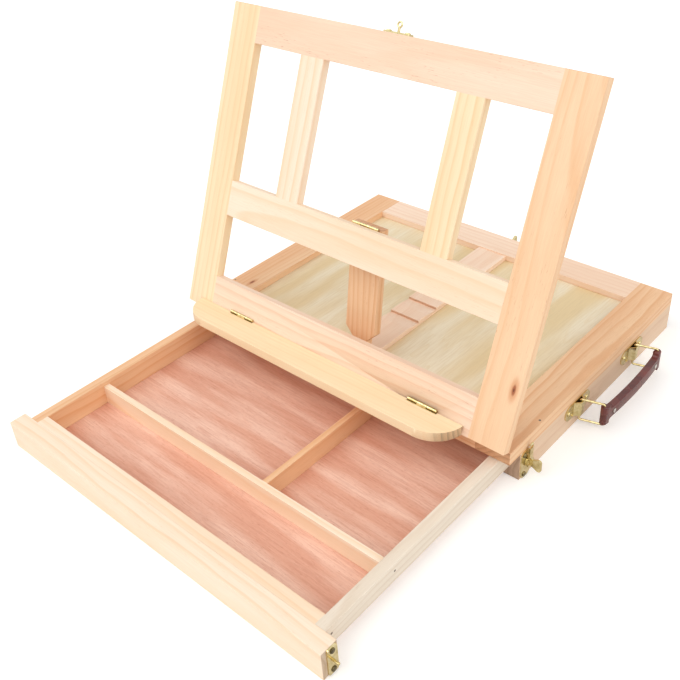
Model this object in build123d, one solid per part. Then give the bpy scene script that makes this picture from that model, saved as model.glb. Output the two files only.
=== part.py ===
from build123d import *
import math
import os

# Table box easel, standing open: millimetres and degrees.
# Origin at the middle of the back wall's foot, +Z up, front towards -Y, handle side at +X.

# Case: walls under a framed top, open in front and below
CASE_WIDTH = 340.0
CASE_DEPTH = 263.0
CASE_HEIGHT = 37.0
FRAME_THICK = 11.5
SIDE_RAIL = 30.0
BACK_RAIL = 30.0
WALL_THICK = 8.7
RUNNER_WIDE = 14.0
RUNNER_HIGH = 8.5
BACK_WALL = 10.0
PANEL_THICK = 3.4
PANEL_SUNK = 6.1
PANEL_TONGUE = 3.0
BATTEN_WIDE = 31.0
BATTEN_SUNK = 1.1
BATTEN_X = -1.0
NOTCH_FROM_FRONT = 95.0
NOTCH_PITCH = 26.2
NOTCH_DEEP = 2.2
NOTCH_LONG = 14.0

# Drawer: box with a fascia, two dividers and a thin floor
DRAWER_OPEN = 201.5
FASCIA_THICK = 14.2
FASCIA_GAP = 0.5
FASCIA_LIFT = 0.4
DRAWER_LONG = 230.0
DRAWER_SIDE = 9.0
DRAWER_SKIRT = 3.7
DRAWER_FRONT = 9.5
DRAWER_BACK = 8.0
DRAWER_CLEAR = 0.3
FLOOR_THICK = 3.0
FLOOR_LIFT = 0.6
CROSS_DIVIDER = 5.6
CROSS_FROM_FASCIA = 63.5
LONG_DIVIDER = 5.0
LONG_DIVIDER_X = 37.2
DIVIDER_SUNK = 4.0

# Lid: an open frame of seven bars
LID_ANGLE = 67.87
LID_LENGTH = 263.7
LID_THICK = 8.5
LID_GAP = 0.3
LID_STILE = 30.5
BOTTOM_RAIL = 31.9
MIDDLE_RAIL_AT = 88.2
MIDDLE_RAIL = 30.5
TOP_RAIL = 29.6
MUNTIN_WIDE = 24.0
MUNTIN_X = 75.0

# Ledge: the shelf that carries the canvas, rounded at its front corners
LEDGE_LEFT = -152.0
LEDGE_RIGHT = 134.0
LEDGE_DEEP = 27.0
LEDGE_THICK = 8.4
LEDGE_SEAM = 7.7
LEDGE_ANGLE = 107.5
LEDGE_EASE = 1.0

# Prop leg behind the lid
LEG_X = 3.0
LEG_WIDE = 31.0
LEG_THICK = 8.0
LEG_TONGUE = 15.0
LEG_SHOULDER_AT = 92.7
LEG_CLEAR = 0.15
LEG_LEAN = 9.45
FOOT_GAP = 0.3

# Butt hinges: pin radius, running clearance, and each pair's knuckle, leaf and place
PIN_RADIUS = 0.55
PIN_CLEAR = 0.04
KNUCKLE_GAP = 0.25
LID_HINGE_LONG = 32.0
LID_HINGE_X = 105.0
LID_KNUCKLE = 2.0
LID_HINGE_PROUD = 2.25
LID_LEAF_THICK = 1.0
LID_LEAF_REACH = 7.6
LEDGE_HINGE_LONG = 27.0
LEDGE_HINGE_AT = (-100.0, 97.0)
LEDGE_KNUCKLE = 1.2
LEDGE_HINGE_PROUD = 1.3
SMALL_LEAF_THICK = 0.7
LEDGE_LEAF_REACH = 6.5
HINGE_SLOT_END = 0.4
PROP_HINGE_LONG = 26.0
PROP_KNUCKLE = 1.25
PROP_PIN_ABOVE = 0.8
PROP_PIN_BEHIND = 1.4
PROP_LEAF_REACH = 9.2

# Flush screws in the hinges, domed screws in the plates, nails in the wood
FLUSH_HEAD = 1.5
FLUSH_SHANK = 0.8
FLUSH_DEEP = 4.5
DOME_HEAD = 2.1
DOME_HIGH = 0.9
DOME_SHANK = 1.0
DOME_DEEP = 6.0
HOLE_CLEAR = 0.03
NAIL_RADIUS = 0.9
NAIL_LONG = 16.0
NAIL_INSET = 2.8
CASE_NAIL_Y = -213.3
DRAWER_NAIL_Z = 18.4

# Turn latches: plate on the case, strike with a post on the drawer and on the lid
PLATE_THICK = 1.2
LATCH_PLATE_LONG = 22.0
LATCH_PLATE_WIDE = 12.0
DRAWER_LATCH_PLATE_LONG = 25.0
DRAWER_LATCH_PLATE_FORWARD = 3.2
LATCH_SHAFT = 2.2
LATCH_FLANGE = 3.0
LATCH_BACK = 3.0
LATCH_ARM_THICK = 1.4
LATCH_ARM_WIDE = 4.4
LATCH_HUB = 4.2
LATCH_LIFT = 1.2
LATCH_COLLAR = 3.6
LATCH_COLLAR_HIGH = 0.9
STRIKE_SCREW_IN = 3.2
DRAWER_LATCH_SCREWS = ((-5.2, -9.0), (-5.2, 9.2))
LID_LATCH_SCREWS = ((0, 6.4), (0, 13.6))
WING_HIGH = 15.0
WING_FOOT = 5.0
WING_REACH = 12.6
WING_THICK = 1.5
POST_RADIUS = 1.0
POST_HIGH = 4.1
DRAWER_POST_HIGH = 6.4
EYE_RADIUS = 1.9
EYE_WIRE = 0.7
HOOK_CLEAR = 0.4
STRIKE_WIDE = 9.0
STRIKE_LONG = 24.0
LID_STRIKE_WIDE = 7.4
DRAWER_LATCH_FROM_FRONT = 24.5
DRAWER_LATCH_Z = 13.0
DRAWER_LATCH_ARM = 16.0
LID_LATCH_DOWN = 7.5
LID_LATCH_PLATE_SHIFT = 5.5

# Carrying handle: two strap brackets, two wire rings and a bowed grip
BRACKET_SPACING = 91.0
HANDLE_FROM_MIDDLE = 11.5
HANDLE_Z = 18.0
BRACKET_LONG = 38.0
BRACKET_HIGH = 14.0
BRACKET_SCREWS = 27.5
BRACKET_THICK = 1.0
STRAP_FOOT = 15.0
STRAP_CREST = 4.2
STRAP_HIGH = 13.0
STRAP_OUT = 5.4
STRAP_THICK = 0.9
RING_WIRE = 0.95
RING_REACH = 19.0
RING_HIGH = 20.2
RING_CORNER = 1.6
RING_LEAN = 15.4
RING_REST = 0.1
GRIP_HIGH = 10.0
GRIP_THICK = 5.8
GRIP_BOW = 2.2
EYE_HIGH = 17.6
EYE_LONG = 7.4
EYE_FLARE = 2.5
EYE_EASE = 1.1
RIVET_RADIUS = 2.0
RIVET_PROUD = 0.5
RIVET_IN = 10.0

# Places that follow from the sizes
REAR = BACK_WALL / 2
FRONT = REAR - CASE_DEPTH
SIDE = CASE_WIDTH / 2
RAIL_UNDER = CASE_HEIGHT - FRAME_THICK
OVERHANG = FASCIA_THICK + FASCIA_GAP
WALL_FRONT = FRONT + OVERHANG
BACK_INNER = REAR - BACK_WALL
BACK_RAIL_INNER = REAR - BACK_RAIL
PANEL_TOP = CASE_HEIGHT - PANEL_SUNK
BATTEN_TOP = CASE_HEIGHT - BATTEN_SUNK

DRAWER_SIDE_OUT = SIDE - WALL_THICK - DRAWER_CLEAR
DRAWER_SIDE_IN = DRAWER_SIDE_OUT - DRAWER_SIDE
SKIRT_OUT = min(DRAWER_SIDE_IN + DRAWER_SKIRT, SIDE - RUNNER_WIDE - DRAWER_CLEAR)
DRAWER_TOP = RAIL_UNDER - 2 * DRAWER_CLEAR
FLOOR_TOP = FLOOR_LIFT + FLOOR_THICK
DIVIDER_TOP = DRAWER_TOP - DIVIDER_SUNK
FASCIA_FRONT = FRONT - DRAWER_OPEN
FASCIA_BACK = FASCIA_FRONT + FASCIA_THICK
DRAWER_END = FASCIA_BACK + DRAWER_LONG
CROSS_FRONT = FASCIA_BACK + CROSS_FROM_FASCIA
CROSS_BACK = CROSS_FRONT + CROSS_DIVIDER

LID_UNDER = CASE_HEIGHT + LID_GAP
LID_FACE = LID_UNDER + LID_THICK
LID_PIN = (FRONT - LID_HINGE_PROUD, CASE_HEIGHT + LID_GAP / 2)
MIDDLE_RAIL_TOP = MIDDLE_RAIL_AT + MIDDLE_RAIL
TOP_RAIL_AT = LID_LENGTH - TOP_RAIL


def turned(point, centre, angle):
    """A (y, z) point turned about a centre, counted from +Y towards +Z."""
    y, z = point[0] - centre[0], point[1] - centre[1]
    c, s = math.cos(math.radians(angle)), math.sin(math.radians(angle))
    return centre[0] + y * c - z * s, centre[1] + y * s + z * c


# Ledge hinge pin with the lid flat: equally proud of the lid's face and of the ledge's top
LEDGE_SEAM_Y = FRONT + LEDGE_SEAM
LEDGE_PIN = (
    LEDGE_SEAM_Y + LEDGE_HINGE_PROUD / math.tan(math.radians(LEDGE_ANGLE / 2)),
    LID_FACE + LEDGE_HINGE_PROUD,
)

# Prop hinge pin with the lid flat, and where it stands once the lid is up
PROP_PIN = (FRONT + MIDDLE_RAIL_TOP + PROP_PIN_ABOVE, LID_UNDER - PROP_PIN_BEHIND)
PROP_PIN_UP = turned(PROP_PIN, LID_PIN, LID_ANGLE)

# The foot swings just clear of the batten, and stands against the front rail
FOOT_RADIUS = PROP_PIN_UP[1] - BATTEN_TOP - LEG_CLEAR
FOOT_ANGLE = LEG_LEAN - math.degrees(math.asin(PROP_PIN_BEHIND / FOOT_RADIUS))
FOOT_Y = PROP_PIN_UP[0] - FOOT_RADIUS * math.sin(math.radians(FOOT_ANGLE))
FRONT_RAIL_INNER = FOOT_Y - FOOT_GAP
LEG_FOLD = LID_ANGLE + 90 + LEG_LEAN

# Handle pivots: the rings turn in the straps, and the grip on the rings' outer bars
RING_AXIS_OUT = (BRACKET_THICK + STRAP_OUT - STRAP_THICK) / 2
RING_Z = HANDLE_Z + STRAP_HIGH / 2 + RING_REST + RING_WIRE - RING_HIGH / 2
HANDLE_MIDDLE = REAR - CASE_DEPTH / 2 + HANDLE_FROM_MIDDLE
BRACKETS_Y = (HANDLE_MIDDLE - BRACKET_SPACING / 2, HANDLE_MIDDLE + BRACKET_SPACING / 2)
RING_PIVOT_X = SIDE + RING_AXIS_OUT
GRIP_AXIS_X = RING_PIVOT_X + RING_REACH * math.cos(math.radians(RING_LEAN))
GRIP_SHIFT = RING_REACH * math.sin(math.radians(RING_LEAN))


def slab(x0, x1, y0, y1, z0, z1):
    """A box between two corners."""
    return Pos((x0 + x1) / 2, (y0 + y1) / 2, (z0 + z1) / 2) * Box(x1 - x0, y1 - y0, z1 - z0)


def rod_x(radius, x0, x1, y, z):
    """A round bar along X."""
    return Pos((x0 + x1) / 2, y, z) * Rot(0, 90, 0) * Cylinder(radius, x1 - x0)


def rod_z(radius, x, y, z0, z1):
    """A round bar along Z."""
    return Pos(x, y, (z0 + z1) / 2) * Cylinder(radius, z1 - z0)


def about_x(shape, pin, angle):
    """The shape turned about a pin along X, given by its (y, z)."""
    return shape.rotate(Axis((0, pin[0], pin[1]), (1, 0, 0)), angle)


def lid_up(shape):
    """A piece of the lid, modelled shut, brought to the lid's standing angle."""
    return about_x(shape, LID_PIN, LID_ANGLE)


def mirrored(shape):
    """The left-hand copy of a right-hand piece."""
    return shape.mirror(Plane.YZ)


def cut_all(shape, tools):
    """The shape less every tool in a list."""
    for tool in tools:
        shape = shape - tool
    return shape


def save(name, solids, place=lambda shape: shape):
    """Write one node: a solid, or a group of separate solids."""
    solids = solids if isinstance(solids, list) else [solids]
    placed = [body for solid in solids for body in place(solid).solids()]
    export_step(placed[0] if len(placed) == 1 else Compound(placed), "parts/" + name + ".step")


# Hinges: in a leaf's own frame the pin is the X axis, the leaf runs along +Y,
# and the wood lies at +Z or -Z as side says.
LID_HINGE = (LID_HINGE_LONG, LID_KNUCKLE, LID_HINGE_PROUD, LID_LEAF_THICK, LID_LEAF_REACH)
LEDGE_HINGE = (LEDGE_HINGE_LONG, LEDGE_KNUCKLE, LEDGE_HINGE_PROUD, SMALL_LEAF_THICK, LEDGE_LEAF_REACH)
PROP_HINGE = (PROP_HINGE_LONG, PROP_KNUCKLE, PROP_PIN_BEHIND, SMALL_LEAF_THICK, PROP_LEAF_REACH)


def leaf_screws(hinge, side, clear=0.0):
    """Two flush screws of a leaf, or the holes for them."""
    long, knuckle, proud, thick, reach = hinge
    y = (knuckle + KNUCKLE_GAP + reach) / 2
    screws = []
    for x in (-0.3 * long, 0.3 * long):
        head = rod_z(FLUSH_HEAD + clear, x, y, proud - thick, proud)
        screw = head + rod_z(FLUSH_SHANK + clear, x, y, proud - thick / 2, proud + FLUSH_DEEP + clear)
        screws.append(screw if side > 0 else screw.mirror(Plane.XY))
    return screws


def leaf(hinge, side, middle):
    """One leaf with the middle knuckle, or with the two end knuckles."""
    long, knuckle, proud, thick, reach = hinge
    gap = KNUCKLE_GAP / 2
    third = long / 6
    ends = [(-long / 2, -third - gap), (third + gap, long / 2)]
    spans = [(-third + gap, third - gap)] if middle else ends
    body = slab(-long / 2, long / 2, knuckle + KNUCKLE_GAP, reach, proud - thick, proud)
    for x0, x1 in spans:
        body += slab(x0, x1, 0, reach, proud - thick, proud) + rod_x(knuckle, x0, x1, 0, 0)
    body -= rod_x(PIN_RADIUS + PIN_CLEAR, -long, long, 0, 0)
    body = body if side > 0 else body.mirror(Plane.XY)
    return cut_all(body, leaf_screws(hinge, side, HOLE_CLEAR))


def at_pin(shapes, xs, pin, angle):
    """Copies of a leaf's shapes at each hinge along a pin line."""
    return [Pos(x, pin[0], pin[1]) * Rot(angle, 0, 0) * shape for x in xs for shape in shapes]


def hinge_pins(hinge, xs, pin):
    """A pin for each hinge along a pin line."""
    half = hinge[0] / 2
    return [rod_x(PIN_RADIUS, x - half, x + half, pin[0], pin[1]) for x in xs]


LID_HINGES_X = (-LID_HINGE_X, LID_HINGE_X)
CASE_HOLES = at_pin(leaf_screws(LID_HINGE, 1, HOLE_CLEAR), LID_HINGES_X, LID_PIN, -90)
LID_HOLES = at_pin(leaf_screws(LID_HINGE, -1, HOLE_CLEAR), LID_HINGES_X, LID_PIN, 90)
LID_LEDGE_HOLES = at_pin(leaf_screws(LEDGE_HINGE, 1, HOLE_CLEAR), LEDGE_HINGE_AT, LEDGE_PIN, 180)
LEDGE_HOLES = at_pin(leaf_screws(LEDGE_HINGE, -1, HOLE_CLEAR), LEDGE_HINGE_AT, LEDGE_PIN, 180)
RAIL_HOLES = at_pin(leaf_screws(PROP_HINGE, -1, HOLE_CLEAR), (LEG_X,), PROP_PIN, 180)
LEG_HOLES = at_pin(leaf_screws(PROP_HINGE, 1, HOLE_CLEAR), (LEG_X,), PROP_PIN, 0)


def dome_screw(x, y, z, clear=0.0):
    """A domed screw seated at height z in a plate's own frame, or the hole for it."""
    shank = rod_z(DOME_SHANK + clear, x, y, z - DOME_DEEP, z)
    if clear:
        return shank
    head = rod_z(DOME_HEAD, x, y, z, z + DOME_HIGH)
    head = fillet(head.edges().group_by(Axis.Z)[-1], DOME_HIGH * 0.8)
    return shank + head


def plate_screws(points, thick, clear=0.0):
    """The screws of a plate, or their holes."""
    return [dome_screw(x, y, thick, clear) for x, y in points]


def placed_on(plane, shapes):
    """Shapes in a plate's own frame, brought to the face they sit on."""
    return [plane.location * shape for shape in shapes]


# Latches: in a plate's own frame the wood is below z = 0 and the turning axis is +Z.
LATCH_Z = PLATE_THICK + LATCH_LIFT
DRAWER_LATCH_Y = FRONT + DRAWER_LATCH_FROM_FRONT
DRAWER_LATCH_PLANE = Plane((SIDE, DRAWER_LATCH_Y, DRAWER_LATCH_Z), (0, 1, 0), (1, 0, 0))
LID_LATCH_PLANE = Plane((0, REAR, CASE_HEIGHT - LID_LATCH_DOWN), (1, 0, 0), (0, 1, 0))
LID_LATCH_ARM = LID_UNDER + LID_THICK / 2 - (CASE_HEIGHT - LID_LATCH_DOWN)
DRAWER_STRIKE_Y = DRAWER_LATCH_Y - DRAWER_LATCH_ARM - DRAWER_OPEN
DRAWER_STRIKE_PLANE = Plane((SIDE, DRAWER_STRIKE_Y, DRAWER_LATCH_Z), (0, 1, 0), (1, 0, 0))
LID_STRIKE_PLANE = Plane((0, FRONT + LID_LENGTH, LID_UNDER + LID_THICK / 2), (1, 0, 0), (0, 1, 0))


def latch_plate(long, across, along, screws):
    """A rounded plate with a raised collar round the lever's shaft."""
    outline = Pos(across, along) * RectangleRounded(LATCH_PLATE_WIDE, long, LATCH_PLATE_WIDE / 3)
    plate = extrude(outline, PLATE_THICK) + rod_z(LATCH_COLLAR, 0, 0, 0, PLATE_THICK + LATCH_COLLAR_HIGH)
    plate -= rod_z(LATCH_SHAFT + PIN_CLEAR, 0, 0, -1, 2 * LATCH_Z)
    return cut_all(plate, plate_screws(screws, PLATE_THICK, HOLE_CLEAR))


def latch_holes(screws):
    """The holes in the wood for a latch's screws and for its shaft's flange."""
    bore = rod_z(LATCH_FLANGE + HOOK_CLEAR, 0, 0, -LATCH_BACK - HOOK_CLEAR, 0)
    return plate_screws(screws, PLATE_THICK, HOLE_CLEAR) + [bore]


def latch_lever(arm):
    """Shaft, hooked arm along +Y, and a fan-shaped wing to turn it by."""
    top = LATCH_Z + LATCH_ARM_THICK
    slot = POST_RADIUS + HOOK_CLEAR
    shaft = rod_z(LATCH_SHAFT, 0, 0, -LATCH_BACK, top)
    shaft += rod_z(LATCH_FLANGE, 0, 0, -LATCH_BACK, -LATCH_BACK / 2)
    half = LATCH_ARM_WIDE / 2
    blade = slab(-half, half, 0, arm + slot + 1, LATCH_Z, top) + rod_z(LATCH_HUB, 0, 0, LATCH_Z, top)
    blade -= slab(-2 * half, 0, arm - slot, arm + slot, LATCH_Z, top) + rod_z(slot, 0, arm, LATCH_Z, top)
    foot, fan = WING_FOOT / 2, WING_HIGH / 2
    profile = Polyline((-foot, top), (foot, top), (fan, WING_REACH), (-fan, WING_REACH), close=True)
    wing = extrude(Plane.YZ * make_face(profile), WING_THICK / 2, both=True)
    wing = fillet(wing.edges().filter_by(Axis.X).group_by(Axis.Z)[-1], WING_HIGH / 6)
    return shaft + blade + wing


def strike_screw_points(along_x):
    half = STRIKE_LONG / 2 - STRIKE_SCREW_IN
    return [(-half, 0), (half, 0)] if along_x else [(0, -half), (0, half)]


def strike_plate(wide, along_x):
    """A thin plate with rounded corners and holes for its two screws."""
    size = (STRIKE_LONG, wide) if along_x else (wide, STRIKE_LONG)
    plate = extrude(RectangleRounded(*size, wide / 5), PLATE_THICK)
    return cut_all(plate, plate_screws(strike_screw_points(along_x), PLATE_THICK, HOLE_CLEAR))


def drawer_strike():
    """A plate with a round-ended post for the hook to catch."""
    post = rod_z(POST_RADIUS, 0, 0, 0, DRAWER_POST_HIGH)
    return strike_plate(STRIKE_WIDE, False) + fillet(post.edges().group_by(Axis.Z)[-1], POST_RADIUS / 2)


def lid_strike():
    """A plate with a post that ends in an eye for the hook to catch."""
    eye = Pos(0, 0, POST_HIGH + EYE_RADIUS + EYE_WIRE) * Rot(90, 0, 0) * Torus(EYE_RADIUS, EYE_WIRE)
    return strike_plate(LID_STRIKE_WIDE, True) + rod_z(POST_RADIUS, 0, 0, 0, POST_HIGH + EYE_WIRE) + eye


# Handle: in a bracket's own frame local X runs along the case and local Y is up.
BRACKET_PLANES = [Plane((SIDE, y, HANDLE_Z), (0, 1, 0), (1, 0, 0)) for y in BRACKETS_Y]
BRACKET_POINTS = [(-BRACKET_SCREWS / 2, 0), (BRACKET_SCREWS / 2, 0)]


def bracket():
    """A round-ended plate with a raised arch that holds the ring's inner bar."""
    foot, crest = STRAP_FOOT / 2, STRAP_CREST / 2
    slope = (foot - crest) / STRAP_OUT
    wall = STRAP_THICK * math.sqrt(1 + slope * slope)
    low, high = BRACKET_THICK, STRAP_OUT - STRAP_THICK
    inner_low, inner_high = foot - slope * low - wall, foot - slope * high - wall
    outer = Polyline((-foot, 0), (-crest, STRAP_OUT), (crest, STRAP_OUT), (foot, 0), close=True)
    pocket = [(-inner_low, low), (-inner_high, high), (inner_high, high), (inner_low, low)]
    inner = Polyline(*pocket, close=True)
    arch = extrude(Plane.XZ * make_face(outer), STRAP_HIGH / 2, both=True)
    arch -= extrude(Plane.XZ * make_face(inner), STRAP_HIGH, both=True)
    plate = extrude(SlotOverall(BRACKET_LONG, BRACKET_HIGH), BRACKET_THICK)
    return cut_all(plate + arch, plate_screws(BRACKET_POINTS, BRACKET_THICK, HOLE_CLEAR))


def ring(y):
    """A rounded wire loop that hangs on its bracket's arch and leans back."""
    frame = Plane((0, 0, 0), (1, 0, 0), (0, -1, 0))
    path = (frame * Pos(RING_REACH / 2, 0) * RectangleRounded(RING_REACH, RING_HIGH, RING_CORNER)).wire()
    start = path @ 0
    loop = sweep(Plane(start, z_dir=path % 0) * Circle(RING_WIRE), path)
    return Pos(RING_PIVOT_X, y, RING_Z) * Rot(0, 0, RING_LEAN) * loop


def grip_line(y):
    """How far the grip's middle line bows out at a place along it."""
    half = BRACKET_SPACING / 2
    radius = (half * half + GRIP_BOW * GRIP_BOW) / (2 * GRIP_BOW)
    return GRIP_BOW - radius + math.sqrt(radius * radius - y * y)


def grip():
    """A bowed bar with a taller round eye at each end, bored for the rings' outer bars."""
    half, out = BRACKET_SPACING / 2, GRIP_THICK / 2
    outer = ThreePointArc((out, -half), (out + GRIP_BOW, 0), (out, half))
    rear = ThreePointArc((out, half), (0, half + out), (-out, half))
    inner = ThreePointArc((-out, half), (GRIP_BOW - out, 0), (-out, -half))
    front = ThreePointArc((-out, -half), (0, -half - out), (out, -half))
    body = extrude(make_face([outer, rear, inner, front]), EYE_HIGH / 2, both=True)
    side = Rectangle(BRACKET_SPACING, GRIP_HIGH)
    side += [Pos(y, 0) * Rectangle(EYE_LONG, EYE_HIGH) for y in (-half, half)]
    neck = half - EYE_LONG / 2
    inside = [v for v in side.vertices() if abs(abs(v.X) - neck) < 0.1 and abs(v.Y) < GRIP_HIGH / 2 + 0.1]
    side = fillet(inside, EYE_FLARE)
    side = fillet([v for v in side.vertices() if abs(v.Y) > EYE_HIGH / 2 - 0.1], EYE_EASE)
    body &= extrude(Plane.YZ * side, GRIP_THICK + GRIP_BOW, both=True)
    for y in (-half, half):
        body -= rod_z(RING_WIRE + PIN_CLEAR, 0, y, -EYE_HIGH, EYE_HIGH)
    return cut_all(body, grip_rivets(HOLE_CLEAR))


def grip_rivets(clear=0.0):
    """Rivets through the grip near its ends, or the holes for them."""
    half = GRIP_THICK / 2 + RIVET_PROUD
    places = (RIVET_IN - BRACKET_SPACING / 2, BRACKET_SPACING / 2 - RIVET_IN)
    lines = [(grip_line(y), y) for y in places]
    return [rod_x(RIVET_RADIUS + clear, line - half, line + half, y, 0) for line, y in lines]


def on_rings(shape):
    """The grip's pieces brought to the rings' outer bars."""
    return Pos(GRIP_AXIS_X, HANDLE_MIDDLE + GRIP_SHIFT, RING_Z) * shape


def case_nails(clear=0.0):
    """A nail down through each side rail into its wall."""
    z0 = CASE_HEIGHT - NAIL_LONG - clear
    xs = (-SIDE + NAIL_INSET, SIDE - NAIL_INSET)
    return [rod_z(NAIL_RADIUS + clear, x, CASE_NAIL_Y, z0, CASE_HEIGHT) for x in xs]


def drawer_nails(clear=0.0):
    """Nails through the drawer's sides into the walls and the cross divider."""
    z = DRAWER_NAIL_Z
    ys = (FASCIA_BACK + DRAWER_FRONT / 2, CROSS_FRONT + CROSS_DIVIDER / 2, DRAWER_END - DRAWER_BACK / 2)
    inner = DRAWER_SIDE_OUT - NAIL_LONG - clear
    right = [rod_x(NAIL_RADIUS + clear, inner, DRAWER_SIDE_OUT, y, z) for y in ys]
    return right + [mirrored(nail) for nail in right]


def case_wall():
    """The right wall: an upright with a wider foot that carries the drawer."""
    upright = slab(SIDE - WALL_THICK, SIDE, WALL_FRONT, REAR, 0, RAIL_UNDER)
    return upright + slab(SIDE - RUNNER_WIDE, SIDE, WALL_FRONT, BACK_INNER, 0, RUNNER_HIGH)


def make_case():
    nail_holes = case_nails(HOLE_CLEAR)
    panel_side = SIDE - SIDE_RAIL + PANEL_TONGUE
    panel = slab(-panel_side, panel_side, FRONT_RAIL_INNER - PANEL_TONGUE, BACK_RAIL_INNER + PANEL_TONGUE,
                 PANEL_TOP - PANEL_THICK, PANEL_TOP)
    rail_in = SIDE - SIDE_RAIL
    side_rail = slab(rail_in, SIDE, FRONT, REAR, RAIL_UNDER, CASE_HEIGHT) - panel
    front_rail = slab(-rail_in, rail_in, FRONT, FRONT_RAIL_INNER, RAIL_UNDER, CASE_HEIGHT) - panel
    back_rail = slab(-rail_in, rail_in, BACK_RAIL_INNER, REAR, RAIL_UNDER, CASE_HEIGHT) - panel
    inner = SIDE - WALL_THICK
    back_wall = slab(-inner, inner, BACK_INNER, REAR, 0, RAIL_UNDER)
    bracket_holes = plate_screws(BRACKET_POINTS, BRACKET_THICK, HOLE_CLEAR)
    lid_latch_holes = placed_on(LID_LATCH_PLANE, latch_holes(LID_LATCH_SCREWS))
    right_holes = placed_on(DRAWER_LATCH_PLANE, latch_holes(DRAWER_LATCH_SCREWS))
    for plane in BRACKET_PLANES:
        right_holes += placed_on(plane, bracket_holes)
    save("case_wall_right", cut_all(case_wall(), nail_holes + right_holes))
    save("case_wall_left", cut_all(mirrored(case_wall()), nail_holes))
    save("case_back_wall", cut_all(back_wall, lid_latch_holes))
    save("case_rail_right", cut_all(side_rail, nail_holes))
    save("case_rail_left", cut_all(mirrored(side_rail), nail_holes))
    save("case_rail_front", cut_all(front_rail, CASE_HOLES))
    save("case_rail_back", cut_all(back_rail, lid_latch_holes))
    save("case_panel", panel)
    save("prop_batten", prop_batten())
    save("case_nails", case_nails())


def prop_batten():
    """The strip down the middle of the panel, with two stepped notches for the leg."""
    half = BATTEN_WIDE / 2
    batten = slab(BATTEN_X - half, BATTEN_X + half, FRONT_RAIL_INNER, BACK_RAIL_INNER, PANEL_TOP, BATTEN_TOP)
    floor = BATTEN_TOP - NOTCH_DEEP
    for i in range(2):
        step = FRONT + NOTCH_FROM_FRONT + i * NOTCH_PITCH
        ramp = Polyline((step, BATTEN_TOP), (step, floor), (step - NOTCH_LONG, BATTEN_TOP), close=True)
        batten -= Pos(BATTEN_X, 0, 0) * extrude(Plane.YZ * make_face(ramp), BATTEN_WIDE, both=True)
    return batten


def make_drawer():
    nail_holes = drawer_nails(HOLE_CLEAR)
    inner = DRAWER_SIDE_IN
    fascia = slab(-SIDE, SIDE, FASCIA_FRONT, FASCIA_BACK, FASCIA_LIFT, DRAWER_TOP + DRAWER_CLEAR)
    strike_points = strike_screw_points(False)
    strike_holes = placed_on(DRAWER_STRIKE_PLANE, plate_screws(strike_points, PLATE_THICK, HOLE_CLEAR))
    side = slab(inner, DRAWER_SIDE_OUT, FASCIA_BACK, DRAWER_END, RUNNER_HIGH + DRAWER_CLEAR, DRAWER_TOP)
    side += slab(inner, SKIRT_OUT, FASCIA_BACK, DRAWER_END, FLOOR_TOP, DRAWER_TOP)
    front = slab(-inner, inner, FASCIA_BACK, FASCIA_BACK + DRAWER_FRONT, FLOOR_TOP, DRAWER_TOP)
    back = slab(-inner, inner, DRAWER_END - DRAWER_BACK, DRAWER_END, FLOOR_TOP, DRAWER_TOP)
    cross = slab(-inner, inner, CROSS_FRONT, CROSS_BACK, FLOOR_TOP, DIVIDER_TOP)
    left, right = LONG_DIVIDER_X - LONG_DIVIDER / 2, LONG_DIVIDER_X + LONG_DIVIDER / 2
    long = slab(left, right, CROSS_BACK, DRAWER_END - DRAWER_BACK, FLOOR_TOP, DIVIDER_TOP)
    save("drawer_fascia", cut_all(fascia, strike_holes))
    save("drawer_side_right", cut_all(side, nail_holes))
    save("drawer_side_left", cut_all(mirrored(side), nail_holes))
    save("drawer_front_wall", cut_all(front, nail_holes))
    save("drawer_back_wall", cut_all(back, nail_holes))
    save("drawer_cross_divider", cut_all(cross, nail_holes))
    save("drawer_long_divider", long)
    save("drawer_floor", slab(-SKIRT_OUT, SKIRT_OUT, FASCIA_BACK, DRAWER_END, FLOOR_LIFT, FLOOR_TOP))
    save("drawer_nails", drawer_nails())
    save("drawer_strike", placed_on(DRAWER_STRIKE_PLANE, [drawer_strike()]))
    save("drawer_strike_screws", placed_on(DRAWER_STRIKE_PLANE, plate_screws(strike_points, PLATE_THICK)))


def lid_bar(x0, x1, v0, v1):
    """A bar of the lid, by its place from the lid's front edge."""
    return slab(x0, x1, FRONT + v0, FRONT + v1, LID_UNDER, LID_FACE)


def make_lid():
    inner = SIDE - LID_STILE
    strike_points = strike_screw_points(True)
    strike_holes = placed_on(LID_STRIKE_PLANE, plate_screws(strike_points, PLATE_THICK, HOLE_CLEAR))
    bottom = cut_all(lid_bar(-inner, inner, 0, BOTTOM_RAIL), LID_HOLES + LID_LEDGE_HOLES)
    middle = cut_all(lid_bar(-inner, inner, MIDDLE_RAIL_AT, MIDDLE_RAIL_TOP), RAIL_HOLES)
    top = cut_all(lid_bar(-inner, inner, TOP_RAIL_AT, LID_LENGTH), strike_holes)
    half = MUNTIN_WIDE / 2
    muntin = lid_bar(MUNTIN_X - half, MUNTIN_X + half, MIDDLE_RAIL_TOP, TOP_RAIL_AT)
    stile = lid_bar(inner, SIDE, 0, LID_LENGTH)
    save("lid_stile_right", stile, lid_up)
    save("lid_stile_left", mirrored(stile), lid_up)
    save("lid_rail_bottom", bottom, lid_up)
    save("lid_rail_middle", middle, lid_up)
    save("lid_rail_top", top, lid_up)
    save("lid_muntin_right", muntin, lid_up)
    save("lid_muntin_left", mirrored(muntin), lid_up)
    save("lid_strike", placed_on(LID_STRIKE_PLANE, [lid_strike()]), lid_up)
    save("lid_strike_screws", placed_on(LID_STRIKE_PLANE, plate_screws(strike_points, PLATE_THICK)), lid_up)


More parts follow.
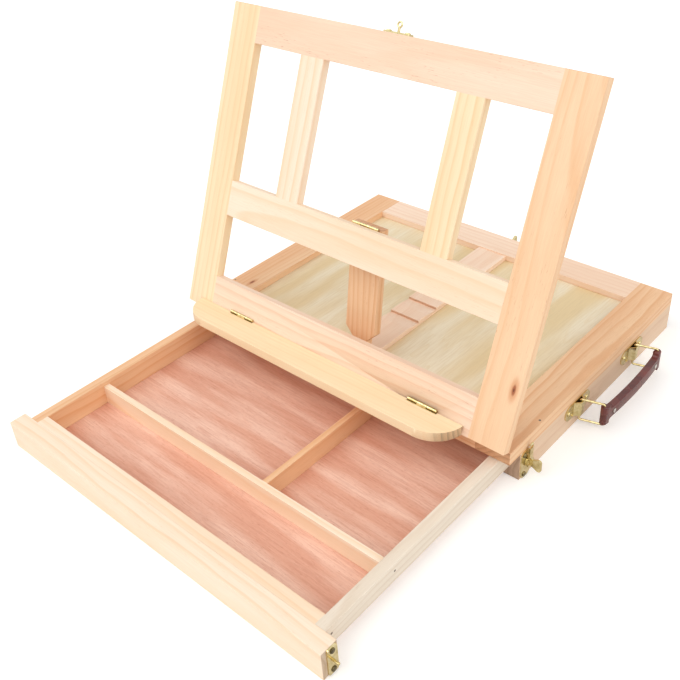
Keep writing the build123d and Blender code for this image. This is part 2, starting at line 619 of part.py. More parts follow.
def canvas_ledge():
    """The ledge as it stands out from the lid: its back follows the lid's face."""
    front = LEDGE_DEEP - LEDGE_HINGE_PROUD / math.tan(math.radians(LEDGE_ANGLE / 2))
    back = -LEDGE_THICK
    long = LEDGE_RIGHT - LEDGE_LEFT
    outline = Pos((LEDGE_LEFT + LEDGE_RIGHT) / 2, (front + back) / 2) * Rectangle(long, front - back)
    outline = fillet(outline.vertices().group_by(Axis.Y)[-1], LEDGE_DEEP)
    board = extrude(outline, LEDGE_THICK)
    board = chamfer(board.faces().sort_by(Axis.Z)[-1].edges(), LEDGE_EASE)
    board = about_x(Pos(0, LEDGE_PIN[0], LEDGE_PIN[1] + LEDGE_HINGE_PROUD) * board, LEDGE_PIN, LEDGE_ANGLE)
    behind, reach = LID_FACE + LID_GAP, LEDGE_DEEP * 2
    board -= slab(-CASE_WIDTH, CASE_WIDTH, FRONT - reach, FRONT + reach, behind - reach, behind)
    half, slot = LEDGE_HINGE_LONG / 2 + HINGE_SLOT_END, LEDGE_PIN[0] - LEDGE_LEAF_REACH - HINGE_SLOT_END
    floor = LID_FACE + 2 * LEDGE_HINGE_PROUD
    for x in LEDGE_HINGE_AT:
        board -= slab(x - half, x + half, slot, FRONT + reach, behind - reach, floor)
    return cut_all(board, LEDGE_HOLES)


def prop_leg():
    """The leg folded into the lid: a board that narrows to a tongue with a round foot."""
    wide, tongue = LEG_WIDE / 2, LEG_TONGUE / 2
    shoulder, end = LEG_SHOULDER_AT + wide - tongue, FOOT_RADIUS + wide
    right = [(wide, PROP_PIN_ABOVE), (wide, LEG_SHOULDER_AT), (tongue, shoulder), (tongue, end)]
    left = [(-x, y) for x, y in reversed(right)]
    board = extrude(make_face(Polyline(*right, *left, close=True)), LEG_THICK)
    board = Pos(LEG_X, PROP_PIN[0], PROP_PIN[1] + PROP_PIN_BEHIND) * board
    reach = rod_x(FOOT_RADIUS, LEG_X - LEG_WIDE, LEG_X + LEG_WIDE, PROP_PIN[0], PROP_PIN[1])
    return cut_all(board & reach, LEG_HOLES)


def leg_down(shape):
    """A piece of the leg, modelled folded into the lid, swung down to its foot."""
    return lid_up(about_x(shape, PROP_PIN, -LEG_FOLD))


def make_hinges():
    leaves = at_pin([leaf(LID_HINGE, 1, False)], LID_HINGES_X, LID_PIN, -90)
    save("lid_hinge_case_leaves", leaves)
    save("lid_hinge_lid_leaves", at_pin([leaf(LID_HINGE, -1, True)], LID_HINGES_X, LID_PIN, 90), lid_up)
    save("lid_hinge_pins", hinge_pins(LID_HINGE, LID_HINGES_X, LID_PIN))
    save("case_hinge_screws", at_pin(leaf_screws(LID_HINGE, 1), LID_HINGES_X, LID_PIN, -90))
    leaves = at_pin([leaf(LEDGE_HINGE, 1, False)], LEDGE_HINGE_AT, LEDGE_PIN, 180)
    save("ledge_hinge_lid_leaves", leaves, lid_up)
    leaves = at_pin([leaf(LEDGE_HINGE, -1, True)], LEDGE_HINGE_AT, LEDGE_PIN, 180)
    save("ledge_hinge_ledge_leaves", leaves, lid_up)
    save("ledge_hinge_pins", hinge_pins(LEDGE_HINGE, LEDGE_HINGE_AT, LEDGE_PIN), lid_up)
    save("prop_hinge_rail_leaf", at_pin([leaf(PROP_HINGE, -1, False)], (LEG_X,), PROP_PIN, 180), lid_up)
    save("prop_hinge_leg_leaf", at_pin([leaf(PROP_HINGE, 1, True)], (LEG_X,), PROP_PIN, 0), leg_down)
    save("prop_hinge_pin", hinge_pins(PROP_HINGE, (LEG_X,), PROP_PIN), lid_up)
    screws = at_pin(leaf_screws(LID_HINGE, -1), LID_HINGES_X, LID_PIN, 90)
    screws += at_pin(leaf_screws(LEDGE_HINGE, 1), LEDGE_HINGE_AT, LEDGE_PIN, 180)
    screws += at_pin(leaf_screws(PROP_HINGE, -1), (LEG_X,), PROP_PIN, 180)
    save("lid_hinge_screws", screws, lid_up)
    screws = at_pin(leaf_screws(LEDGE_HINGE, -1), LEDGE_HINGE_AT, LEDGE_PIN, 180)
    save("ledge_screws", screws, lid_up)
    save("leg_screws", at_pin(leaf_screws(PROP_HINGE, 1), (LEG_X,), PROP_PIN, 0), leg_down)


def make_latches():
    plate = latch_plate(DRAWER_LATCH_PLATE_LONG, -DRAWER_LATCH_PLATE_FORWARD, 0, DRAWER_LATCH_SCREWS)
    save("drawer_latch_plate", placed_on(DRAWER_LATCH_PLANE, [plate]))
    save("drawer_latch_lever", placed_on(DRAWER_LATCH_PLANE, [latch_lever(DRAWER_LATCH_ARM)]))
    plate = latch_plate(LATCH_PLATE_LONG, 0, LID_LATCH_PLATE_SHIFT, LID_LATCH_SCREWS)
    save("lid_latch_plate", placed_on(LID_LATCH_PLANE, [plate]))
    save("lid_latch_lever", placed_on(LID_LATCH_PLANE, [latch_lever(LID_LATCH_ARM)]))
    screws = placed_on(DRAWER_LATCH_PLANE, plate_screws(DRAWER_LATCH_SCREWS, PLATE_THICK))
    screws += placed_on(LID_LATCH_PLANE, plate_screws(LID_LATCH_SCREWS, PLATE_THICK))
    save("latch_screws", screws)


def make_handle():
    for name, plane, y in zip(("front", "rear"), BRACKET_PLANES, BRACKETS_Y):
        save("handle_bracket_" + name, placed_on(plane, [bracket()]))
        save("handle_ring_" + name, ring(y))
    screws = plate_screws(BRACKET_POINTS, BRACKET_THICK)
    save("handle_screws", [screw for plane in BRACKET_PLANES for screw in placed_on(plane, screws)])
    save("handle_grip", grip(), on_rings)
    save("handle_rivets", grip_rivets(), on_rings)


os.makedirs("parts", exist_ok=True)
make_case()
make_drawer()
make_lid()
save("canvas_ledge", canvas_ledge(), lid_up)
save("prop_leg", prop_leg(), leg_down)
make_hinges()
make_latches()
make_handle()
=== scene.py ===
import math

import bmesh
import bpy
from mathutils import Matrix, Vector
from mathutils.bvhtree import BVHTree


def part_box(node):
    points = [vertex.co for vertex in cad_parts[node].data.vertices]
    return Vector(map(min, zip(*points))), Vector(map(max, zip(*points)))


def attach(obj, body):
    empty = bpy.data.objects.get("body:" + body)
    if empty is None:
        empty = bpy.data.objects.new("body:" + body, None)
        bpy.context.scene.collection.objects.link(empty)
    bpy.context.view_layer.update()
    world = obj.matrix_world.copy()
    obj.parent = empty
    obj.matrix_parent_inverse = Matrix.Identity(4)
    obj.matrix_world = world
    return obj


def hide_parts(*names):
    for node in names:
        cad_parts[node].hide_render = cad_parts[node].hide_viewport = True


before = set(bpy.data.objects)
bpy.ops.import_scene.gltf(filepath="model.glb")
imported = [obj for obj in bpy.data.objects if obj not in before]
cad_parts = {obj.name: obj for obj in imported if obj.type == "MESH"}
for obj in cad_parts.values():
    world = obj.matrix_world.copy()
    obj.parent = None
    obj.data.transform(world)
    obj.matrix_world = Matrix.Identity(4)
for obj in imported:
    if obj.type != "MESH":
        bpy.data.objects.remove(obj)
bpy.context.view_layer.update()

# Table box easel in pine, standing open. Metres in the scene, millimetres in the tables below.
MM = 0.001
LID_TURN = 67.87
LEDGE_TURN = 175.37
LEG_TURN = -99.45


def colour(hexed):
    """An sRGB hex colour as linear red, green, blue and full alpha."""
    values = [int(hexed[i:i + 2], 16) / 255 for i in (1, 3, 5)]
    return [v / 12.92 if v <= 0.04045 else ((v + 0.055) / 1.055) ** 2.4 for v in values] + [1.0]


NOISE, MATHS, VECTOR = "ShaderNodeTexNoise", "ShaderNodeMath", "ShaderNodeVectorMath"
RANGE, MIX, BUMP = "ShaderNodeMapRange", "ShaderNodeMix", "ShaderNodeBump"
PLACE, PATH = "ShaderNodeTexCoord", "ShaderNodeLightPath"
SMOOTH = {"interpolation_type": "SMOOTHSTEP"}
COLOURS = {"data_type": "RGBA"}


def add(tree, kind, sockets=(), out=0, **settings):
    """Adds one node: its settings, then its sockets, in order or by name, each given a value or
    another node's output. Gives back the output asked for."""
    made = tree.nodes.new(kind)
    for name, value in settings.items():
        setattr(made, name, value)
    pairs = sockets.items() if isinstance(sockets, dict) else enumerate(sockets)
    for name, value in pairs:
        if isinstance(value, bpy.types.NodeSocket):
            tree.links.new(value, made.inputs[name])
        else:
            made.inputs[name].default_value = value
    return made.outputs[out]


def new_material(name, **sockets):
    """A material with one Principled shader, and plain values set on the shader's own sockets."""
    material = bpy.data.materials.new(name)
    material.use_nodes = True
    shader = material.node_tree.nodes["Principled BSDF"]
    for socket, value in sockets.items():
        shader.inputs[socket.replace("_", " ")].default_value = value
    return material, material.node_tree, shader


# Wood. A board is cut from a log of rings round a pith: x runs along the log, and the rings are
# widening rounds about it, so faces show streaks or arches and end grain shows the curved rings.

TONES = {
    "cream": ("#FCE9D2", "#F3CFA6", "#E2B285"),
    "honey": ("#FBE5C0", "#EFC894", "#DDAE76"),
    "rose": ("#FADFC6", "#EDBF9B", "#CE9572"),
    "blush": ("#FBE2CB", "#EFC8A8", "#D9A47E"),
    "peach": ("#F8D6B0", "#EBB685", "#C98B5E"),
    "amber": ("#F4CDA4", "#E2A674", "#C08257"),
    "fawn": ("#EED2B6", "#DDB897", "#BC8F6C"),
    # ash: greyish white, partly a painted sheen, used for the drawer's right side
    "ash": ("#EDE0CE", "#DCC8B0", "#BFA488"),
}


# Noise in a log, as repeats in a mm along it and across it, then detail and roughness: bends of
# 180 by 48 mm, wavers of 33 by 8 mm, drifts of 250 by 33 mm, fibres 0.7 mm wide, ducts 6 mm long
PINE_PATTERNS = {
    "bend": (0.0055, 0.021, 2.0, 0.5),
    "waver": (0.03, 0.12, 2.0, 0.5),
    "drift": (0.004, 0.03, 2.0, 0.5),
    "fibres": (0.035, 1.5, 4.0, 0.6),
    "veins": (0.16, 1.9, 1.0, 0.5),
    "patch": (0.012, 0.05, 1.0, 0.5),
    "pores": (0.05, 1.3, 2.0, 0.5),
}

# How dark the wood is through one ring, from the start of spring growth to the end of summer
RING_SHADES = ((0.0, 0.02), (0.42, 0.12), (0.72, 0.55), (0.86, 0.95), (0.93, 0.8), (1.0, 0.06))

# How much longer a knot's stain is along the grain than across it
KNOT_STRETCH = 2.8


def log_turn(tilt, along, lean):
    """The turn that lays a board's grain along x and its face towards +z, with a small lean of the log."""
    turn = Matrix.Rotation(math.radians(-tilt), 3, "X")
    if along == "y":
        turn = Matrix.Rotation(math.radians(-90), 3, "Z") @ turn
    lean_y, lean_z = (math.radians(degrees) for degrees in lean)
    return Matrix.Rotation(lean_y, 3, "Y") @ Matrix.Rotation(lean_z, 3, "Z") @ turn


def wood(name, tone, centre, tilt=0.0, along="x", lean=(0.6, 0.8), pith=(12.0, 38.0), ring=5.2,
         start=0.0, wave=5.0, contrast=0.8, ducts=0.35, knots=(), end_tone="#C79A72", end_lines=0.35):
    """Planed bare pine: soft pale early wood between narrow orange late rings, fine fibres,
    short brown resin ducts, darker rosy end grain and a matt face with a faint silky gloss."""
    material, tree, shader = new_material(name, IOR=1.5)
    early, late, duct = (colour(c) for c in TONES[tone])
    turn = log_turn(tilt, along, lean)
    place = Vector((start, pith[0], pith[1])) - turn @ (Vector(centre) / MM)
    at = add(tree, "ShaderNodeMapping", {"Vector": add(tree, PLACE, out="Object"), "Location": place,
             "Rotation": turn.to_euler("XYZ"), "Scale": (1 / MM,) * 3})
    grain = {}
    for pattern, (long_way, cross_way, detail, rough) in PINE_PATTERNS.items():
        scaled = add(tree, VECTOR, (at, (long_way, cross_way, cross_way)), operation="MULTIPLY")
        grain[pattern] = add(tree, NOISE, {"Vector": scaled, "Scale": 1.0, "Detail": detail,
                             "Roughness": rough})

    # Rings: distance from the pith in mm, bent by slow waves along the log and round each knot
    across_log = add(tree, VECTOR, (at, (0, 1, 1)), operation="MULTIPLY")
    radius = add(tree, VECTOR, (across_log,), "Value", operation="LENGTH")
    radius = add(tree, MATHS, (grain["bend"], wave * 2.4, radius), operation="MULTIPLY_ADD")
    radius = add(tree, MATHS, (grain["waver"], wave * 0.22, radius), operation="MULTIPLY_ADD")
    cores = []
    for spot, size in knots:
        spot_in_log = turn @ (Vector(spot) / MM) + place
        away = add(tree, VECTOR, (at, spot_in_log), operation="SUBTRACT")
        sizes = (1 / (size * KNOT_STRETCH), 1 / size, 0)
        away = add(tree, VECTOR, (away, sizes), operation="MULTIPLY")
        far = add(tree, VECTOR, (away,), "Value", operation="LENGTH")
        push = add(tree, RANGE, (far, 3.2, 0.4), **SMOOTH)
        radius = add(tree, MATHS, (push, size * 1.6, radius), operation="MULTIPLY_ADD")
        cores.append(far)
    count = add(tree, MATHS, (radius, ring), operation="DIVIDE")
    within = add(tree, MATHS, (count,), operation="FRACT")
    whole = add(tree, MATHS, (count,), operation="FLOOR")
    each = add(tree, "ShaderNodeTexWhiteNoise", {"W": whole}, noise_dimensions="1D")
    each = add(tree, RANGE, (each, 0, 1, 0.35, 1), interpolation_type="LINEAR")
    shade = add(tree, "ShaderNodeValToRGB", {"Fac": within})
    stops = shade.node.color_ramp.elements
    for stop, (position, value) in zip(stops, (RING_SHADES[0], RING_SHADES[-1])):
        stop.position, stop.color = position, (value, value, value, 1)
    for position, value in RING_SHADES[1:-1]:
        stops.new(position).color = (value, value, value, 1)
    late_share = add(tree, MATHS, (shade, each), operation="MULTIPLY")
    late_share = add(tree, MATHS, (late_share, contrast), operation="MULTIPLY")

    # Colour: early to late wood, drifting warmer and paler along the board, with fibres and ducts
    face = add(tree, MIX, {0: late_share, 6: early, 7: late}, 2, **COLOURS)
    share = add(tree, RANGE, (grain["drift"], 0.35, 0.7, 0, 0.45), **SMOOTH)
    face = add(tree, MIX, {0: share, 6: face, 7: late}, 2, **COLOURS)
    share = add(tree, RANGE, (grain["fibres"], 0.3, 0.75, 0, 0.16), **SMOOTH)
    face = add(tree, MIX, {0: share, 6: face, 7: duct}, 2, **COLOURS)
    veins = add(tree, RANGE, (grain["veins"], 0.66, 0.76), **SMOOTH)
    patch = add(tree, RANGE, (grain["patch"], 0.42, 0.62, 0, ducts), **SMOOTH)
    share = add(tree, MATHS, (veins, patch), operation="MULTIPLY")
    face = add(tree, MIX, {0: share, 6: face, 7: duct}, 2, **COLOURS)

    # Knots: an orange stain, a brown rim broken by the fibres, and a dark heart
    for far in cores:
        ragged = add(tree, MATHS, (grain["fibres"], 0.5, far), operation="MULTIPLY_ADD")
        rings = ((far, 2.1, 0.9, 0.55, "#D58E5F"), (ragged, 1.2, 0.7, 1, "#A8643F"),
                 (ragged, 0.62, 0.4, 1, "#6E3B26"))
        for distance, outer, inner, most, tint in rings:
            share = add(tree, RANGE, (distance, outer, inner, 0, most), **SMOOTH)
            face = add(tree, MIX, {0: share, 6: face, 7: colour(tint)}, 2, **COLOURS)

    # End grain: the cut fibres soak up light, so a face across the log is browner; on the case's right wall
    # the darker end tone is partly painted shade
    grain_way = turn.transposed() @ Vector((1, 0, 0))
    facing = add(tree, VECTOR, (add(tree, PLACE, out="Normal"), grain_way), "Value", operation="DOT_PRODUCT")
    facing = add(tree, MATHS, (facing,), operation="ABSOLUTE")
    facing = add(tree, RANGE, (facing, 0.35, 0.8), **SMOOTH)
    end = add(tree, MIX, {0: 0.75, 6: face, 7: colour(end_tone)}, 2, blend_type="MULTIPLY", **COLOURS)
    share = add(tree, MATHS, (shade, end_lines), operation="MULTIPLY")
    end = add(tree, MIX, {0: share, 6: end, 7: colour("#6B5442")}, 2, **COLOURS)
    share = add(tree, RANGE, (grain["pores"], 0.45, 0.75, 0, 0.5), **SMOOTH)
    end = add(tree, MIX, {0: share, 6: end, 7: colour("#8C5C3E")}, 2, **COLOURS)
    share = add(tree, MATHS, (facing, 0.72), operation="MULTIPLY")
    face = add(tree, MIX, {0: share, 6: face, 7: end}, 2, **COLOURS)

    tree.links.new(face, shader.inputs["Base Color"])
    gloss = add(tree, RANGE, (grain["fibres"], 0.2, 0.8, 0.46, 0.66), **SMOOTH)
    tree.links.new(gloss, shader.inputs["Roughness"])
    height = add(tree, MATHS, (late_share, 0.5, grain["fibres"]), operation="MULTIPLY_ADD")
    bump = add(tree, BUMP, {"Height": height, "Strength": 0.14, "Distance": 0.0003})
    tree.links.new(bump, shader.inputs["Normal"])
    return material


def veneer(name, centre, along, pale, deep, pore, band, stretch, pores, streak):
    """Peeled veneer on thin plywood: wide soft figure, open pores drawn as short fine dashes, and pale
    flecks painted in as glints of light.
    """
    material, tree, shader = new_material(name, IOR=1.5)
    turn = log_turn(0.0, along, (0.0, 1.2))
    place = -(turn @ (Vector(centre) / MM))
    at = add(tree, "ShaderNodeMapping", {"Vector": add(tree, PLACE, out="Object"), "Location": place,
             "Rotation": turn.to_euler("XYZ"), "Scale": (1 / MM,) * 3})
    patterns = {
        "figure": (1 / (band * stretch), 1 / band, 2.0, 0.45),
        "fibres": (0.05, streak, 4.0, 0.6),
        "dashes": (0.22, 2.6, 1.0, 0.5),
        "painted_glints": (0.15, 2.1, 1.0, 0.5),
    }
    grain = {}
    for pattern, (long_way, cross_way, detail, rough) in patterns.items():
        scaled = add(tree, VECTOR, (at, (long_way, cross_way, cross_way)), operation="MULTIPLY")
        grain[pattern] = add(tree, NOISE, {"Vector": scaled, "Scale": 1.0, "Detail": detail,
                             "Roughness": rough})
    lines = add(tree, MATHS, (grain["figure"], 9.0), operation="MULTIPLY")
    lines = add(tree, MATHS, (lines,), operation="FRACT")
    face = colour(pale)
    # Painted highlight: the last layer puts pale flecks where glints of light would be
    layers = ((grain["figure"], 0.36, 0.62, 1, deep), (lines, 0.72, 1, 0.3, deep),
              (grain["fibres"], 0.35, 0.75, 0.4, pore), (grain["dashes"], 0.6, 0.74, pores, pore),
              (grain["painted_glints"], 0.62, 0.78, pores * 0.7, pale))
    for pattern, low, high, most, tint in layers:
        share = add(tree, RANGE, (pattern, low, high, 0, most), **SMOOTH)
        face = add(tree, MIX, {0: share, 6: face, 7: colour(tint)}, 2, **COLOURS)
    tree.links.new(face, shader.inputs["Base Color"])
    gloss = add(tree, RANGE, (grain["fibres"], 0.2, 0.8, 0.45, 0.62), **SMOOTH)
    tree.links.new(gloss, shader.inputs["Roughness"])
    bump = add(tree, BUMP, {"Height": grain["dashes"], "Strength": 0.12, "Distance": 0.0003})
    tree.links.new(bump, shader.inputs["Normal"])
    return material


def metal(name, clean, dull, smooth, worn, grit, depth):
    """Plated metal: bright where rubbed, duller in patches, with fine polishing marks."""
    material, tree, shader = new_material(name, Metallic=1.0)
    at = add(tree, PLACE, out="Object")
    patches = add(tree, NOISE, {"Vector": at, "Scale": 220.0, "Detail": 4.0, "Roughness": 0.6})
    marks = add(tree, NOISE, {"Vector": at, "Scale": grit, "Detail": 2.0})
    share = add(tree, RANGE, (patches, 0.38, 0.68))
    tint = add(tree, MIX, {0: share, 6: colour(clean), 7: colour(dull)}, 2, **COLOURS)
    tree.links.new(tint, shader.inputs["Base Color"])
    gloss = add(tree, RANGE, (patches, 0.3, 0.7, smooth, worn))
    tree.links.new(gloss, shader.inputs["Roughness"])
    bump = add(tree, BUMP, {"Height": marks, "Strength": depth, "Distance": 0.0002})
    tree.links.new(bump, shader.inputs["Normal"])
    return material


def moulded_grip(name):
    """Moulded PVC in dark plum brown: a soft gloss over a shallow leather-like grain, with a
    slightly rubbed, redder tone in patches."""
    material, tree, shader = new_material(name, IOR=1.53)
    at = add(tree, PLACE, out="Object")
    # Grain cells of about 1.2 mm, coarser than the real 0.5 mm so that they show
    cells = add(tree, "ShaderNodeTexVoronoi", {"Vector": at, "Scale": 850.0}, "Distance",
                feature="SMOOTH_F1")
    patches = add(tree, NOISE, {"Vector": at, "Scale": 90.0, "Detail": 3.0})
    share = add(tree, RANGE, (patches, 0.35, 0.7))
    tint = add(tree, MIX, {0: share, 6: colour("#551F1A"), 7: colour("#71322A")}, 2, **COLOURS)
    tree.links.new(tint, shader.inputs["Base Color"])
    gloss = add(tree, RANGE, (patches, 0.3, 0.7, 0.22, 0.34))
    tree.links.new(gloss, shader.inputs["Roughness"])
    bump = add(tree, BUMP, {"Height": cells, "Strength": 0.12, "Distance": 0.0002})
    tree.links.new(bump, shader.inputs["Normal"])
    return material


# Eased copies: each copy of a CAD board has its free edges rounded, and its glued edges left sharp

# An edge is rounded where its two faces turn by this much, and touches no board nearer than this
EASED_TURN = math.radians(35)
GLUED_GAP = 0.08 * MM


def merged(node):
    """A CAD node's triangles as one closed mesh, with its flat faces joined."""
    mesh = bmesh.new()
    mesh.from_mesh(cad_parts[node].data)
    bmesh.ops.remove_doubles(mesh, verts=mesh.verts, dist=2e-6)
    bmesh.ops.dissolve_limit(mesh, angle_limit=math.radians(0.5), verts=mesh.verts, edges=mesh.edges)
    return mesh


def split_at(mesh, points):
    """Adds a vertex on an edge wherever another board's corner touches it."""
    for point in points:
        for edge in list(mesh.edges):
            a, b = edge.verts[0].co, edge.verts[1].co
            way = b - a
            long = way.length
            if long < 2 * MM:
                continue
            share = (point - a).dot(way) / (long * long)
            if 0.5 * MM < share * long < long - 0.5 * MM and (a + way * share - point).length < 0.05 * MM:
                bmesh.utils.edge_split(edge, edge.verts[0], share)
                break


def eased_copy(node, body, neighbours, ease, shortest=2.5):
    """A copy whose free outer corners are rounded to a small radius, as sanding leaves them."""
    mesh = merged(node)
    others = [BOARD_TREES[other] for other in neighbours]
    split_at(mesh, [corner for other in neighbours for corner in BOARD_CORNERS[other]])
    mesh.normal_update()
    free = []
    for edge in mesh.edges:
        if len(edge.link_faces) != 2 or edge.calc_length() < shortest * MM or not edge.is_convex:
            continue
        if edge.calc_face_angle() < EASED_TURN:
            continue
        middle = (edge.verts[0].co + edge.verts[1].co) / 2
        if not any(tree.find_nearest(middle, GLUED_GAP)[0] for tree in others):
            free.append(edge)
    bmesh.ops.bevel(mesh, geom=free, offset=ease * MM, segments=3, profile=0.5, affect="EDGES",
                    clamp_overlap=False)
    bmesh.ops.triangulate(mesh, faces=[f for f in mesh.faces if len(f.verts) > 4])
    data = bpy.data.meshes.new("eased_" + node)
    mesh.to_mesh(data)
    mesh.free()
    piece = bpy.data.objects.new("eased_" + node, data)
    bpy.context.scene.collection.objects.link(piece)
    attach(piece, body)
    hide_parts(node)
    return piece


def centre_of(node):
    """The middle of a node's box."""
    low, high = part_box(node)
    return (low + high) / 2


# Two knots, in metres: low on the right stile's face, and on the left rail's top
STILE_KNOT = (0.1645, -0.2490, 0.0873)
LEFT_KNOT = (-0.1506, -0.2068, 0.037)

FLAT_X = {"tilt": 0.0, "along": "x"}
FLAT_Y = {"tilt": 0.0, "along": "y"}
LID_X = {"tilt": LID_TURN, "along": "x"}
LID_UP = {"tilt": LID_TURN, "along": "y"}
LEG_UP = {"tilt": LEG_TURN, "along": "y"}
LEDGE_X = {"tilt": LEDGE_TURN, "along": "x"}

# Board: body, how it lies, tone, and how it was sawn (pith in mm to the side and below the face)
BOARDS = {
    # The right wall's grey plum end tone and stronger end lines are partly its own darker end grain, partly
    # painted shade for the drawer's shadow on its front end
    "case_wall_right": ("case", FLAT_Y, "fawn", dict(pith=(30, 6), ring=4.2, start=40, contrast=0.7,
                        end_tone="#93807C", end_lines=0.6)),
    "case_wall_left": ("case", FLAT_Y, "rose", dict(pith=(26, 10), ring=4.6, start=420)),
    "case_back_wall": ("case", FLAT_X, "rose", dict(pith=(34, 12), ring=4.8, start=900)),
    "case_rail_right": ("case", FLAT_Y, "amber", dict(pith=(22, 30), ring=5.0, start=1500, lean=(1.6, 1.0),
                        contrast=0.9)),
    "case_rail_left": ("case", FLAT_Y, "amber", dict(pith=(48, 18), ring=4.4, start=2100,
                       knots=((LEFT_KNOT, 1.7),))),
    "case_rail_back": ("case", FLAT_X, "blush", dict(pith=(40, 24), ring=4.6, start=2800)),
    "case_rail_front": ("case", FLAT_X, "amber", dict(pith=(18, 30), ring=5.2, start=3300)),
    "prop_batten": ("case", FLAT_Y, "blush", dict(pith=(10, 34), ring=4.6, start=3900, contrast=0.6)),
    "drawer_fascia": ("drawer", FLAT_X, "cream", dict(pith=(60, 4), ring=7.5, start=4500, wave=7.0,
                      end_tone="#96856F", end_lines=0.3)),
    "drawer_front_wall": ("drawer", FLAT_X, "cream", dict(pith=(30, 18), ring=5.4, start=5100)),
    "drawer_side_left": ("drawer", FLAT_Y, "amber", dict(pith=(28, 16), ring=5.0, start=5600)),
    # The right side's ash tone is partly the board's own pale colour and partly a painted sheen for the
    # grey-white reflection on its face
    "drawer_side_right": ("drawer", FLAT_Y, "ash", dict(pith=(16, 30), ring=5.2, start=6200,
                          lean=(1.4, 1.2))),
    "drawer_back_wall": ("drawer", FLAT_X, "cream", dict(pith=(26, 20), ring=5.0, start=6900)),
    "drawer_cross_divider": ("drawer", FLAT_X, "cream", dict(pith=(36, 10), ring=5.6, start=7300)),
    "drawer_long_divider": ("drawer", FLAT_Y, "amber", dict(pith=(30, 8), ring=4.6, start=7900)),
    "lid_stile_left": ("lid", LID_UP, "honey", dict(pith=(64, 20), ring=6.0, start=8300, wave=3.0)),
    "lid_stile_right": ("lid", LID_UP, "peach", dict(pith=(14, 26), ring=5.4, start=8900, lean=(1.4, 1.0),
                        contrast=0.6, ducts=0.7, knots=((STILE_KNOT, 2.1),))),
    "lid_rail_top": ("lid", LID_X, "rose", dict(pith=(6, 60), ring=6.5, start=9500, contrast=0.35,
                     ducts=0.9)),
    "lid_rail_middle": ("lid", LID_X, "cream", dict(pith=(14, 30), ring=5.6, start=9900, lean=(1.2, 1.8))),
    "lid_rail_bottom": ("lid", LID_X, "rose", dict(pith=(20, 22), ring=4.2, start=10500, lean=(1.0, 1.4),
                        ducts=0.6)),
    "lid_muntin_left": ("lid", LID_UP, "cream", dict(pith=(34, 22), ring=6.4, start=11100, wave=3.0)),
    "lid_muntin_right": ("lid", LID_UP, "honey", dict(pith=(30, 20), ring=5.8, start=11600)),
    "canvas_ledge": ("ledge", LEDGE_X, "honey", dict(pith=(70, 6), ring=3.9, start=12100, wave=4.0,
                     contrast=0.4, end_tone="#B59A7E", end_lines=1.0)),
    "prop_leg": ("prop", LEG_UP, "amber", dict(pith=(36, 16), ring=5.0, start=12700)),
}

BOARD_TREES = {}
BOARD_CORNERS = {}
for board in BOARDS:
    shape = merged(board)
    BOARD_TREES[board] = BVHTree.FromBMesh(shape)
    BOARD_CORNERS[board] = [corner.co.copy() for corner in shape.verts]
    shape.free()

PINE = {}
for board, (body, lay, tone, sawn) in BOARDS.items():
    neighbours = [other for other in BOARDS if other != board and BOARDS[other][0] == body]
    piece = eased_copy(board, body, neighbours, 0.3 if "divider" in board else 0.45)
    PINE[board] = wood("planed_pine_" + board, tone, centre_of(board), **lay, **sawn)
    piece.data.materials.append(PINE[board])


def dress(node, material):
    """Gives a CAD node its finish."""
    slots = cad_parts[node].data.materials
    slots.clear()
    slots.append(material)


dress("case_panel", veneer("basswood_veneer_panel", centre_of("case_panel"), "y", "#EFE3C8", "#E4CDA0",
                           "#D5BE94", 26.0, 7.0, 0.12, 0.7))
dress("drawer_floor", veneer("lauan_veneer_floor", centre_of("drawer_floor"), "x", "#F3C9B4", "#E0A78E",
                             "#BF7C63", 18.0, 9.0, 0.55, 1.0))

# Brass plate is pale and nearly mirror smooth, nickel rivets are whiter, nails are dull and grey,
# and the latch screws are painted dark: painted shade for the shadow in their screw holes
BRASS = metal("brass_plated_steel", "#E6D6A6", "#C2AE76", 0.13, 0.26, 1900.0, 0.02)
NICKEL = metal("nickel_plated_rivet", "#EEECE6", "#CFCAC0", 0.14, 0.24, 1900.0, 0.02)
STEEL = metal("bare_steel_nail", "#8D8177", "#5E4E43", 0.35, 0.55, 3200.0, 0.12)
SHADED_SCREW = metal("brass_screw_painted_shade", "#8A7C58", "#40382A", 0.22, 0.4, 1900.0, 0.03)
GRIP = moulded_grip("moulded_pvc_grip")

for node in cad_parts:
    if node in BOARDS or node in ("case_panel", "drawer_floor"):
        continue
    dress(node, STEEL if "nails" in node else GRIP if node == "handle_grip" else BRASS)
dress("handle_rivets", NICKEL)
# Painted shade: the latch and strike screws take the dark screw colour for the shadow in their holes
dress("latch_screws", SHADED_SCREW)
dress("drawer_strike_screws", SHADED_SCREW)
grip = eased_copy("handle_grip", "grip", [], 0.7, 0.2)
grip.data.materials.append(GRIP)


# Room: a pale floor that keeps the shadow, a white surround and two wide soft lamps

# The floor's half width in metres, and the light added where the camera sees it
FLOOR_REACH = 6.0
FLOOR_LIFT = 0.26

floor_mesh = bpy.data.meshes.new("floor")
corners = [(x * FLOOR_REACH, y * FLOOR_REACH, 0) for x, y in ((-1, -1), (1, -1), (1, 1), (-1, 1))]
floor_mesh.from_pydata(corners, [], [(0, 1, 2, 3)])
floor = bpy.data.objects.new("floor", floor_mesh)
bpy.context.scene.collection.objects.link(floor)
paper, tree, shader = new_material("matt_white_paper", Roughness=0.9)
shader.inputs["Base Color"].default_value = colour("#F2F1EF")
lift = add(tree, MATHS, (add(tree, PATH, out="Is Camera Ray"), FLOOR_LIFT), operation="MULTIPLY")
tree.links.new(lift, shader.inputs["Emission Strength"])
shader.inputs["Emission Color"].default_value = (1, 1, 1, 1)
floor_mesh.materials.append(paper)

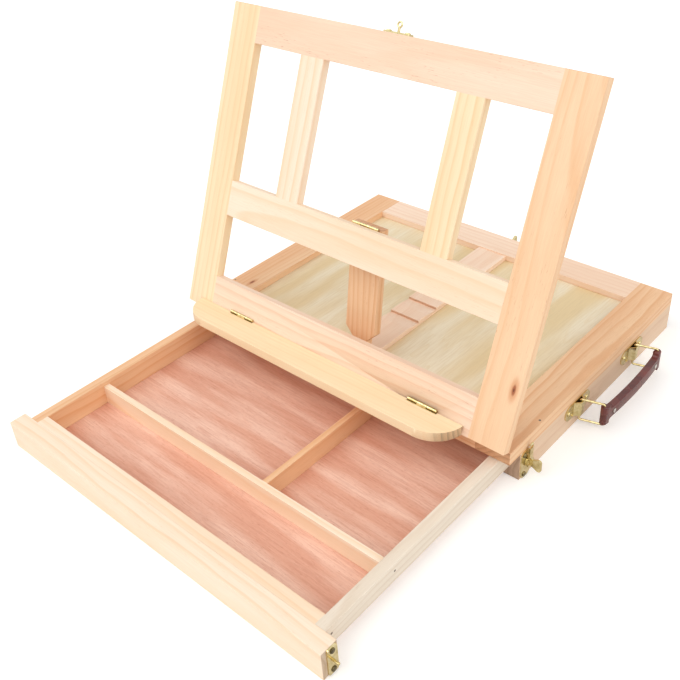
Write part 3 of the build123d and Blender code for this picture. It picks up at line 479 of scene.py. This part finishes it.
world = bpy.data.worlds.new("white_room")
bpy.context.scene.world = world
world.use_nodes = True
tree = world.node_tree
surround = tree.nodes["Background"]
surround.inputs["Color"].default_value = (1, 1, 1, 1)
sights = (add(tree, PATH, out="Is Camera Ray"), add(tree, PATH, out="Is Glossy Ray"))
shown = add(tree, MATHS, sights, operation="MAXIMUM")
level = add(tree, RANGE, {"Value": shown, "To Min": 0.55, "To Max": 1.0})
tree.links.new(level, surround.inputs["Strength"])


def soft_lamp(name, towards, strength, spread):
    """A far lamp with a wide face: towards points from the object to the lamp."""
    lamp = bpy.data.lights.new(name, "SUN")
    lamp.energy = strength * math.pi
    lamp.angle = math.radians(spread)
    holder = bpy.data.objects.new(name, lamp)
    holder.rotation_euler = Vector(towards).to_track_quat("Z", "Y").to_euler()
    bpy.context.scene.collection.objects.link(holder)


soft_lamp("key", (-0.30, -0.58, 0.76), 0.44, 55)
soft_lamp("fill", (0.82, -0.12, 0.56), 0.34, 70)

# Camera: where the photograph was taken from, in the frame's metres, with its lens in pixels
PICTURE, FOCAL = 680, 902.4
MIDDLE_X, MIDDLE_Y = 347.4, 318.5
STAND = (0.4159, -0.6777, 0.4874)
SENSOR_MM = 36
AZIMUTH, ELEVATION, ROLL = math.radians(43.40), math.radians(34.33), math.radians(-3.79)
back = Vector((math.sin(AZIMUTH) * math.cos(ELEVATION), -math.cos(AZIMUTH) * math.cos(ELEVATION),
               math.sin(ELEVATION)))
level_right = Vector((math.cos(AZIMUTH), math.sin(AZIMUTH), 0))
level_up = back.cross(level_right)
right = level_right * math.cos(ROLL) + level_up * math.sin(ROLL)
up = -level_right * math.sin(ROLL) + level_up * math.cos(ROLL)
lens = bpy.data.cameras.new("camera")
lens.lens = FOCAL / PICTURE * SENSOR_MM
lens.shift_x = (PICTURE / 2 - MIDDLE_X) / PICTURE
lens.shift_y = (MIDDLE_Y - PICTURE / 2) / PICTURE
camera = bpy.data.objects.new("camera", lens)
camera.matrix_world = Matrix((
    (right.x, up.x, back.x, STAND[0]),
    (right.y, up.y, back.y, STAND[1]),
    (right.z, up.z, back.z, STAND[2]),
    (0, 0, 0, 1)))
bpy.context.scene.collection.objects.link(camera)
bpy.context.scene.camera = camera
bpy.context.scene.view_settings.view_transform = "Standard"
